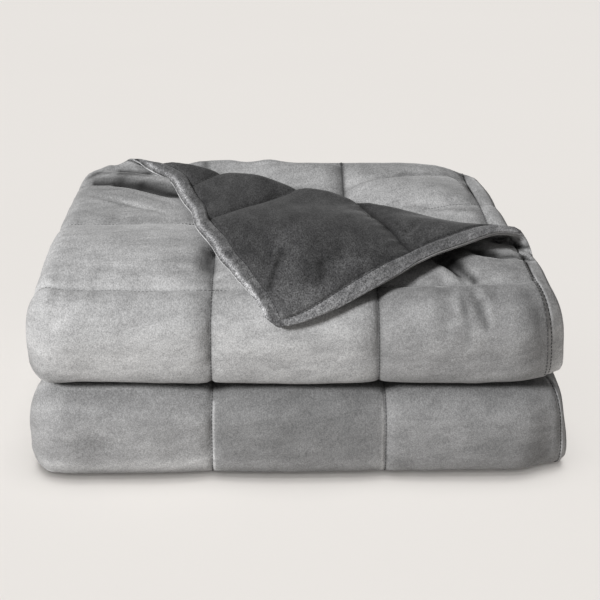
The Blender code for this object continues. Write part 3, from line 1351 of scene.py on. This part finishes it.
    def folded(self, u: ARRAY, v: ARRAY, w: ARRAY) -> ARRAY:
        """Fold points of the panel, with its swells.

        Args:
            u: Place across the cloth.
            v: Place along the cloth.
            w: Height over the quilt's middle surface.

        Returns:
            Points, one row each, in the object's frame.
        """
        s = self.stack.sizes
        outer_end = s.outer_width + self.outer_end * s.left_cloth
        under = smoothstep((u - outer_end) / ((1 - self.outer_end) * s.left_cloth))
        moved = RIGHT_HEM.moved(u, v, s.hem)
        for swell in SWELLS:
            size = np.array([swell.shift_u, swell.shift_v, swell.amount])
            moved = moved + np.multiply.outer(size, swell.share(u, v))
        moved = moved * (1 - under * (u < s.inner_start - s.right_cloth))
        inner = smoothstep((u - s.inner_start) / s.right_cloth + 1)
        at_end = (1 - np.clip(v / s.hem, 0, 1)) ** self.curl_power
        moved[2] = moved[2] - inner * self.end_curl * at_end
        points = self.stack.place(u + moved[0], v + moved[1], w, moved[2])
        for pull in PULLS:
            points = pull.pulled(points)
        return points

    def faces(self, index: ARRAY, rim: ARRAY) -> ARRAY:
        """Faces of the grid, and of the strip that tucks its rim in to the middle surface.

        Args:
            index: Point numbers of the grid.
            rim: Point numbers of its outline, once round.

        Returns:
            Four point numbers a face.
        """
        quads = np.stack([index[:-1, :-1], index[1:, :-1], index[1:, 1:], index[:-1, 1:]], axis=-1)
        below = index.size + np.arange(len(rim))
        walls = np.stack([rim, below, np.roll(below, -1), np.roll(rim, -1)], axis=-1)
        quads = np.vstack([quads.reshape(-1, 4), walls])
        return quads[:, ::-1] if self.side is Side.REVERSE else quads

    def build(self) -> bpy.types.Object:
        """Returns:
            The skin as an object that rides on the blanket's body.
        """
        u, v = np.meshgrid(self.columns(), self.rows(), indexing="ij")
        outer = self.folded(u, v, self.side.value * self.height(u, v))
        index = np.arange(u.size).reshape(u.shape)
        rim = np.concatenate([index[0, :-1], index[:-1, -1], index[-1, :0:-1], index[:0:-1, 0]])
        cloth = np.stack([u.ravel(), v.ravel()], -1)
        tucked = self.folded(*cloth[rim].T, np.zeros(len(rim)))
        cloth = np.vstack([cloth, cloth[rim]])
        faces = self.faces(index, rim)
        points = np.vstack([outer.reshape(-1, 3), tucked])
        skin = smooth_object(self.node + "_skin", points, faces.tolist())
        layer = skin.data.uv_layers.new(name="cloth")
        layer.data.foreach_set("uv", cloth[faces.ravel()].ravel())
        # The painted light and shade, and the pile's ruffle, are kept at the points.
        pile_and_painted_light = PAINTED_LIGHT_AND_RUFFLE[self.side]
        for name, worked_out in (("pile_and_painted_light", pile_and_painted_light.tone), ("fluff", pile_and_painted_light.fluff)):
            attribute = skin.data.attributes.new(name, "FLOAT", "POINT")
            attribute.data.foreach_set("value", worked_out(*cloth.T, self.quilting))
        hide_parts(self.node)
        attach(skin, "root")
        return skin

    def dress(self, skin: bpy.types.Object, finish: "PlushFinish") -> None:
        """Give the skin its plush.

        Args:
            skin: The panel's skin.
            finish: Its finish.
        """
        skin.data.materials.append(finish.make())
        LOG.info("%s: %d faces", skin.name, len(skin.data.polygons))


@dataclass(frozen=True)
class SeamLine:
    """A sewn line that shows, from one place of the flat quilt to another."""

    start: PAIR
    end: PAIR
    weight: float = 1.0


SEAM_LINES = {
    Side.FACE: (
        SeamLine((0.1475, 0.205), (0.1475, 0.352)),
        SeamLine((0.1420, 0.972), (0.1420, 1.064)),
        SeamLine((0.2740, 0.150), (0.2740, 0.352)),
        SeamLine((0.2740, 0.972), (0.2740, 1.064)),
        SeamLine((0.0160, 0.2704), (0.2000, 0.2750), 0.6),
        SeamLine((0.2000, 0.2750), (0.3000, 0.2770), 0.6),
        SeamLine((0.3000, 0.2770), (0.4250, 0.2770), 0.6),
        SeamLine((0.2450, 0.1455), (0.4250, 0.1455)),
        SeamLine((0.0155, 0.215), (0.0155, 0.352)),
        SeamLine((0.0195, 0.215), (0.0195, 0.352)),
        SeamLine((0.0155, 0.972), (0.0155, 1.064)),
        SeamLine((0.3400, 0.0155), (0.4300, 0.0155)),
        SeamLine((0.8567, 0.002), (0.8567, 0.160)),
        SeamLine((0.9862, 0.002), (0.9862, 0.095)),
        SeamLine((0.8567, 0.100), (0.9600, 0.100), 0.45),
    ),
    Side.REVERSE: (
        SeamLine((0.1990, 0.0115), (0.1990, 0.100)),
        SeamLine((0.2700, 0.0115), (0.2700, 0.062)),
        SeamLine((0.0190, 0.1105), (0.1750, 0.1105)),
        SeamLine((0.0190, 0.0115), (0.3500, 0.0115)),
        SeamLine((0.0190, 0.0115), (0.0190, 0.198)),
    ),
}


@dataclass
class Stitching:
    """Threads sewn along the seams of one panel, as short capsules half sunk in the groove.

    Every ring of a capsule is its share of the length and its share of the radius.
    """

    panel: PanelSkin
    pitch: float = 0.0031
    length: float = 0.0021
    radius: float = 0.00045
    sides: int = 6
    rings: tuple[PAIR, ...] = ((0.0, 0.45), (0.18, 1.0), (0.82, 1.0), (1.0, 0.45))
    lift: float = 0.001

    def surface(self, u: ARRAY, v: ARRAY, above: float) -> ARRAY:
        """Points a little above the panel's surface."""
        panel = self.panel
        return panel.folded(u, v, panel.side.value * (panel.height(u, v) + above))

    def ends(self, line: SeamLine) -> ARRAY:
        """Both ends of every stitch in a line.

        Args:
            line: Where the thread runs.

        Returns:
            Stitches by ends by (u, v).
        """
        begin, run = np.array(line.start), np.subtract(line.end, line.start)
        span = math.hypot(*run)
        middles = (np.arange(int(span / self.pitch)) + 0.5) * self.pitch / span
        steps = middles[:, None] + np.array([-0.5, 0.5]) * self.length / span
        return begin + run * steps[..., None]

    def capsule(self) -> list[tuple[int, ...]]:
        """Faces of one capsule, as numbers of its own points.

        Returns:
            The faces round it, and its two caps.
        """
        sides, faces = self.sides, []
        for ring in range(len(self.rings) - 1):
            for side in range(sides):
                low, near = ring * sides, (side + 1) % sides
                faces.append((low + side, low + near, low + sides + near, low + sides + side))
        last = (len(self.rings) - 1) * sides
        return [*faces, tuple(range(sides))[::-1], tuple(range(last, last + sides))]

    def build(self, lines: Sequence[SeamLine]) -> bpy.types.Object:
        """Sew all lines.

        Args:
            lines: Where the threads run.

        Returns:
            The threads as one object.
        """
        sewn = [self.ends(line) for line in lines]
        weights = np.concatenate([[line.weight] * len(ends) for line, ends in zip(lines, sewn)])
        u, v = np.moveaxis(np.vstack(sewn), -1, 0)
        base, tip = self.surface(u, v, 0.0), self.surface(u, v, self.lift)
        length = base[:, 1] - base[:, 0]
        axis = length / np.linalg.norm(length, axis=1, keepdims=True)
        across = np.cross(axis, (tip - base).mean(axis=1))
        across /= np.linalg.norm(across, axis=1, keepdims=True)
        outward = np.cross(across, axis)
        turn = (np.arange(self.sides) * 2 * math.pi / self.sides)[:, None]
        spokes = across[:, None] * np.cos(turn) + outward[:, None] * np.sin(turn)
        spokes = spokes * self.radius * weights[:, None, None]
        rings = [
            (base[:, 0] + length * share)[:, None] + size * spokes for share, size in self.rings
        ]
        points = np.stack(rings, axis=1).reshape(-1, 3)
        step, capsule = len(self.rings) * self.sides, self.capsule()
        faces = [
            [first + corner for corner in face]
            for first in range(0, len(base) * step, step)
            for face in capsule
        ]
        thread = smooth_object(self.panel.node + "_thread", points, faces)
        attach(thread, "root")
        return thread

    def dress(self, thread: bpy.types.Object, finish: "PlushFinish") -> None:
        """Give the threads their colour.

        Args:
            thread: The threads.
            finish: Not used.
        """
        thread.data.materials.append(THREADS[self.panel.side].make())
        LOG.info("%s: %d faces", thread.name, len(thread.data.polygons))


class Socket:
    """A shader socket with arithmetic that adds Math nodes."""

    def __init__(self, graph: "ShaderGraph", link: bpy.types.NodeSocket) -> None:
        """Keep the graph and the socket."""
        self.graph, self.link = graph, link

    def _math(self, operation: str, *values: Union["Socket", float]) -> "Socket":
        """Add one Math node."""
        return self.graph.node("ShaderNodeMath", {"operation": operation}, dict(enumerate(values)))

    def __add__(self, other: Union["Socket", float]) -> "Socket":
        """Sum."""
        return self._math("ADD", self, other)

    def __radd__(self, other: float) -> "Socket":
        """Sum with a number in front."""
        return self._math("ADD", other, self)

    def __sub__(self, other: Union["Socket", float]) -> "Socket":
        """Difference."""
        return self._math("SUBTRACT", self, other)

    def __rsub__(self, other: float) -> "Socket":
        """Difference from a number."""
        return self._math("SUBTRACT", other, self)

    def __mul__(self, other: Union["Socket", float]) -> "Socket":
        """Product."""
        return self._math("MULTIPLY", self, other)

    def __rmul__(self, other: float) -> "Socket":
        """Product with a number in front."""
        return self._math("MULTIPLY", other, self)

    def ramp(self, low: float, high: float) -> "Socket":
        """Share of the way from low to high, eased and held between 0 and 1."""
        settings = {"interpolation_type": "SMOOTHSTEP"}
        return self.graph.node("ShaderNodeMapRange", settings, {0: self, 1: low, 2: high})


class ShaderGraph:
    """Builds one material's nodes."""

    def __init__(self, name: str) -> None:
        """Start a node material with its Principled shader."""
        self.material = bpy.data.materials.new(name)
        self.material.use_nodes = True
        self.tree = self.material.node_tree
        self.shader = self.tree.nodes["Principled BSDF"]

    def node(
        self,
        kind: str,
        settings: dict[str, object],
        inputs: dict[Union[int, str], object],
        output: Union[int, str] = 0,
    ) -> Socket:
        """Add one node.

        Args:
            kind: The node's type.
            settings: Its settings, set first.
            inputs: Values or links of its sockets.
            output: Which of its outputs is returned.

        Returns:
            The output, ready for arithmetic.
        """
        made = self.tree.nodes.new(kind)
        for name, value in settings.items():
            setattr(made, name, value)
        for name, value in inputs.items():
            self.feed(made.inputs[name], value)
        return Socket(self, made.outputs[output])

    def feed(self, socket: bpy.types.NodeSocket, value: object) -> None:
        """Link a socket, or set its value.

        Args:
            socket: The node's socket.
            value: Another socket, or a value.
        """
        if isinstance(value, Socket):
            self.tree.links.new(value.link, socket)
        else:
            socket.default_value = value

    def cloth(self) -> Socket:
        """Place on the flat quilt, in metres."""
        return self.node("ShaderNodeUVMap", {"uv_map": "cloth"}, {})

    def in_frame(self) -> Socket:
        """Place in the object's frame, in metres."""
        return self.node("ShaderNodeTexCoord", {}, {}, "Object")

    def noise(self, place: Socket, scale: float, detail: float, rough: float = 0.5) -> Socket:
        """Noise between 0 and 1."""
        inputs = {"Vector": place, "Scale": scale, "Detail": detail, "Roughness": rough}
        return self.node("ShaderNodeTexNoise", {}, inputs)

    def mottle(self, place: Socket, pattern: "Mottle") -> tuple[Socket, Socket]:
        """Lay one layer of mottling.

        Args:
            place: Place on the surface.
            pattern: How the layer looks.

        Returns:
            The plain noise, and the same with its contrast raised.
        """
        inputs = {"Vector": place, "Rotation": (0, 0, pattern.turn), "Scale": (*pattern.stretch, 1)}
        place = self.node("ShaderNodeMapping", {"vector_type": "TEXTURE"}, inputs)
        noise = self.noise(place, pattern.scale, pattern.detail, pattern.rough)
        return noise, noise.ramp(*pattern.span)

    def attribute(self, name: str) -> Socket:
        """A number kept at the mesh's points."""
        return self.node("ShaderNodeAttribute", {"attribute_name": name}, {}, "Fac")

    def mix(self, share: Union[Socket, float], first: object, second: object) -> Socket:
        """Mix two colours."""
        inputs = {"Factor": share, 6: first, 7: second}
        return self.node("ShaderNodeMix", {"data_type": "RGBA"}, inputs, 2)

    def scale(self, colour: Socket, by: Socket) -> Socket:
        """Make a colour darker or lighter."""
        inputs = {0: colour, "Scale": by}
        return self.node("ShaderNodeVectorMath", {"operation": "SCALE"}, inputs)

    def bump(self, height: Socket, distance: float, below: Union[Socket, None] = None) -> Socket:
        """A bump, over another one if given.

        Args:
            height: Height, as a share of the distance.
            distance: Depth of the bump, in metres.
            below: The bump that it lies on.

        Returns:
            The bumped normal.
        """
        inputs = {"Height": height, "Distance": distance, "Strength": 1.0}
        if below is not None:
            inputs["Normal"] = below
        return self.node("ShaderNodeBump", {}, inputs)


@dataclass(frozen=True)
class Mottle:
    """A layer of mottling in the pile: how it runs, how fine it is, and what it adds."""

    stretch: PAIR
    turn: float
    scale: float
    detail: float
    rough: float
    span: PAIR
    depth: float = 1.0
    tone: float = 0.0


PATCHES = Mottle((1.5, 0.9), 0.12, 30, 5, 0.62, (0.36, 0.64), tone=0.40)
BRUSHING = Mottle((2.4, 0.9), 0.18, 105, 4, 0.62, (0.40, 0.60), 0.4, 0.28)
SPECKLE = Mottle((1.0, 2.4), 0.0, 420, 3, 0.70, (0.32, 0.68), 0.6, 0.32)
GRAIN = Mottle((1.0, 2.4), 0.0, 1100, 2, 0.70, (0.30, 0.70), 0.4)
RUFFLE = Mottle((1.5, 1.0), 0.6, 210, 4, 0.70, (0.34, 0.66), 0.5)


@dataclass(frozen=True)
class PlushFinish:
    """Short brushed plush: a mottled pile with fine grain and a soft sheen."""

    name: str
    dark: TRIPLE
    light: TRIPLE
    sheen: float
    sheen_tint: float
    roughness: float
    grain_tone: float = 0.50
    ruffle_tone: float = 0.56
    light_gloss: float = 0.12
    nap_depth: float = 0.0011
    grain_depth: float = 0.00055
    specular: float = 0.22
    sheen_roughness: float = 0.38

    def make(self) -> bpy.types.Material:
        """Build the material.

        Returns:
            The finished material.
        """
        graph = ShaderGraph(self.name)
        cloth, free = graph.cloth(), graph.in_frame()
        patches, patch_tone = graph.mottle(cloth, PATCHES)
        brushed, brushed_tone = graph.mottle(cloth, BRUSHING)
        ruffle, ruffle_tone = graph.mottle(cloth, RUFFLE)
        speckle, speckle_tone = graph.mottle(free, SPECKLE)
        grain, grain_tone = graph.mottle(free, GRAIN)
        tone = patch_tone * PATCHES.tone + brushed_tone * BRUSHING.tone
        tone = tone + speckle_tone * SPECKLE.tone
        colour = graph.mix(tone, (*self.dark, 1), (*self.light, 1))
        # The painted light and shade kept at the points scale the pile's colour.
        painted_light_tone, fluff = graph.attribute("pile_and_painted_light"), graph.attribute("fluff")
        grained = grain_tone * self.grain_tone + (1 - self.grain_tone / 2)
        ruffled = 1 + fluff * (ruffle_tone * self.ruffle_tone - self.ruffle_tone / 2)
        colour = graph.scale(colour, painted_light_tone * grained * ruffled)
        height = patches * PATCHES.depth + brushed * BRUSHING.depth + ruffle * fluff * RUFFLE.depth
        pile_and_painted_light = graph.bump(height, self.nap_depth)
        pile = graph.bump(speckle * SPECKLE.depth + grain * GRAIN.depth, self.grain_depth, pile_and_painted_light)
        inputs = graph.shader.inputs
        graph.feed(inputs["Base Color"], colour)
        graph.feed(inputs["Normal"], pile)
        graph.feed(inputs["Roughness"], tone * -self.light_gloss + self.roughness)
        graph.feed(inputs["Specular IOR Level"], self.specular)
        graph.feed(inputs["Sheen Weight"], self.sheen)
        graph.feed(inputs["Sheen Roughness"], self.sheen_roughness)
        graph.feed(inputs["Sheen Tint"], (*[self.sheen_tint] * 3, 1))
        return graph.material


@dataclass(frozen=True)
class ThreadFinish:
    """Sewing thread: a plain dull colour with a fine twist."""

    name: str
    colour: TRIPLE
    dark_share: float = 0.7
    twist_scale: float = 4000
    twist_detail: float = 2
    roughness: float = 0.8

    def make(self) -> bpy.types.Material:
        """Build the material.

        Returns:
            The finished material.
        """
        graph = ShaderGraph(self.name)
        twist = graph.noise(graph.in_frame(), self.twist_scale, self.twist_detail)
        dark = tuple(self.dark_share * part for part in self.colour)
        graph.feed(graph.shader.inputs["Base Color"], graph.mix(twist, (*dark, 1), (*self.colour, 1)))
        graph.feed(graph.shader.inputs["Roughness"], self.roughness)
        return graph.material


FACE_PLUSH = PlushFinish(
    "face_plush", (0.305, 0.305, 0.307), (0.515, 0.515, 0.517), 0.30, 0.9, 0.72
)
REVERSE_PLUSH = PlushFinish(
    "reverse_plush", (0.027, 0.027, 0.028), (0.077, 0.077, 0.078), 0.12, 0.7, 0.70, 1.20
)
THREADS = {
    # The face's near-black thread is partly painted shade: it stands for the shadowed needle holes as
    # well as the thread.
    Side.FACE: ThreadFinish("grey_thread_with_painted_hole_shade", (0.050, 0.050, 0.051)),
    Side.REVERSE: ThreadFinish("charcoal_thread", (0.020, 0.020, 0.021)),
}


@dataclass(frozen=True)
class Lamp:
    """A far, wide light: where it stands, how soft it is and how strong."""

    name: str
    place: TRIPLE
    spread: float
    strength: float

    def hang(self, lit: Sequence[bpy.types.Object]) -> None:
        """Hang the light, turned to the middle of the floor.

        Args:
            lit: The objects that it lights.
        """
        data = bpy.data.lights.new(self.name, "SUN")
        data.angle, data.energy = math.radians(self.spread), self.strength
        light = bpy.data.objects.new(self.name, data)
        light.location = Vector(self.place)
        light.rotation_euler = (-Vector(self.place)).to_track_quat("-Z", "Y").to_euler()
        bpy.context.scene.collection.objects.link(light)
        group = bpy.data.collections.new(self.name + "_lit")
        for item in lit:
            group.objects.link(item)
        light.light_linking.receiver_collection = group


KEY_LAMP = Lamp("key", (-1.9, -1.5, 1.25), 14, 5.0)
FLOOR_LAMPS = (
    Lamp("floor_high", (0.0, -1.3, 2.0), 12, 0.72),
    Lamp("floor_middle", (0.0, -2.0, 1.5), 12, 0.85),
    Lamp("floor_low", (0.0, -2.2, 0.9), 12, 1.25),
    Lamp("floor_top", (0.0, -0.2, 2.0), 34, 1.25),
)


@dataclass
class Studio:
    """Pale floor, soft light and the camera at the photograph's angle."""

    target: TRIPLE = (0.0038, 0.0, 0.0936)
    yaw: float = 0.71
    pitch: float = 19.84
    distance: float = 1.35
    lens: float = 97.5
    floor_size: float = 12
    floor_strips: int = 60
    floor_shades: tuple[tuple[float, ...], ...] = ((0.725, 0.700, 0.673, 1), (0.735, 0.710, 0.683, 1))
    floor_mottle: PAIR = (3, 2)
    floor_roughness: float = 0.9
    floor_specular: float = 0.1
    air: tuple[float, ...] = (1.0, 0.985, 0.965, 1)
    air_strength: float = 0.22

    def floor(self) -> bpy.types.Object:
        """Lay the floor, one wide plain sheet.

        Returns:
            The floor.
        """
        bpy.ops.mesh.primitive_grid_add(
            x_subdivisions=2, y_subdivisions=self.floor_strips, size=self.floor_size
        )
        floor = bpy.context.object
        floor.name = "floor"
        floor.data.polygons.foreach_set("use_smooth", [True] * len(floor.data.polygons))
        graph = ShaderGraph("floor_paper")
        tint = graph.noise(graph.in_frame(), *self.floor_mottle)
        graph.feed(graph.shader.inputs["Base Color"], graph.mix(tint, *self.floor_shades))
        graph.feed(graph.shader.inputs["Roughness"], self.floor_roughness)
        graph.feed(graph.shader.inputs["Specular IOR Level"], self.floor_specular)
        floor.data.materials.append(graph.material)
        return floor

    def sky(self) -> None:
        """Fill the room with even light."""
        world = bpy.data.worlds.new("room")
        world.use_nodes = True
        background = world.node_tree.nodes["Background"]
        background.inputs["Color"].default_value = self.air
        background.inputs["Strength"].default_value = self.air_strength
        bpy.context.scene.world = world
        bpy.context.scene.view_settings.view_transform = "Standard"

    def camera(self) -> None:
        """Set the camera."""
        yaw, pitch = math.radians(self.yaw), math.radians(self.pitch)
        level = math.cos(pitch)
        ahead = Vector((math.sin(yaw) * level, math.cos(yaw) * level, -math.sin(pitch)))
        data = bpy.data.cameras.new("camera")
        data.lens = self.lens
        camera = bpy.data.objects.new("camera", data)
        camera.location = Vector(self.target) - ahead * self.distance
        camera.rotation_euler = ahead.to_track_quat("-Z", "Y").to_euler()
        bpy.context.scene.collection.objects.link(camera)
        bpy.context.scene.camera = camera

    def build(self, pieces: Sequence[bpy.types.Object]) -> None:
        """Build the floor, the lights and the camera.

        Args:
            pieces: What stands on the floor.
        """
        floor = self.floor()
        KEY_LAMP.hang(pieces)
        for lamp in FLOOR_LAMPS:
            lamp.hang([floor])
        self.sky()
        self.camera()


def main() -> None:
    """Build the blanket's skins and the studio."""
    logging.basicConfig(level=logging.INFO)
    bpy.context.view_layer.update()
    stack = FoldedStack(FoldSizes())
    pieces = []
    for side, node, finish in (
        (Side.FACE, "face_panel", FACE_PLUSH),
        (Side.REVERSE, "reverse_panel", REVERSE_PLUSH),
    ):
        panel = PanelSkin(stack, side, node)
        skin = panel.build()
        panel.dress(skin, finish)
        stitching = Stitching(panel)
        thread = stitching.build(SEAM_LINES[side])
        stitching.dress(thread, finish)
        pieces += [skin, thread]
    Studio().build(pieces)


if __name__ == "__main__":
    main()
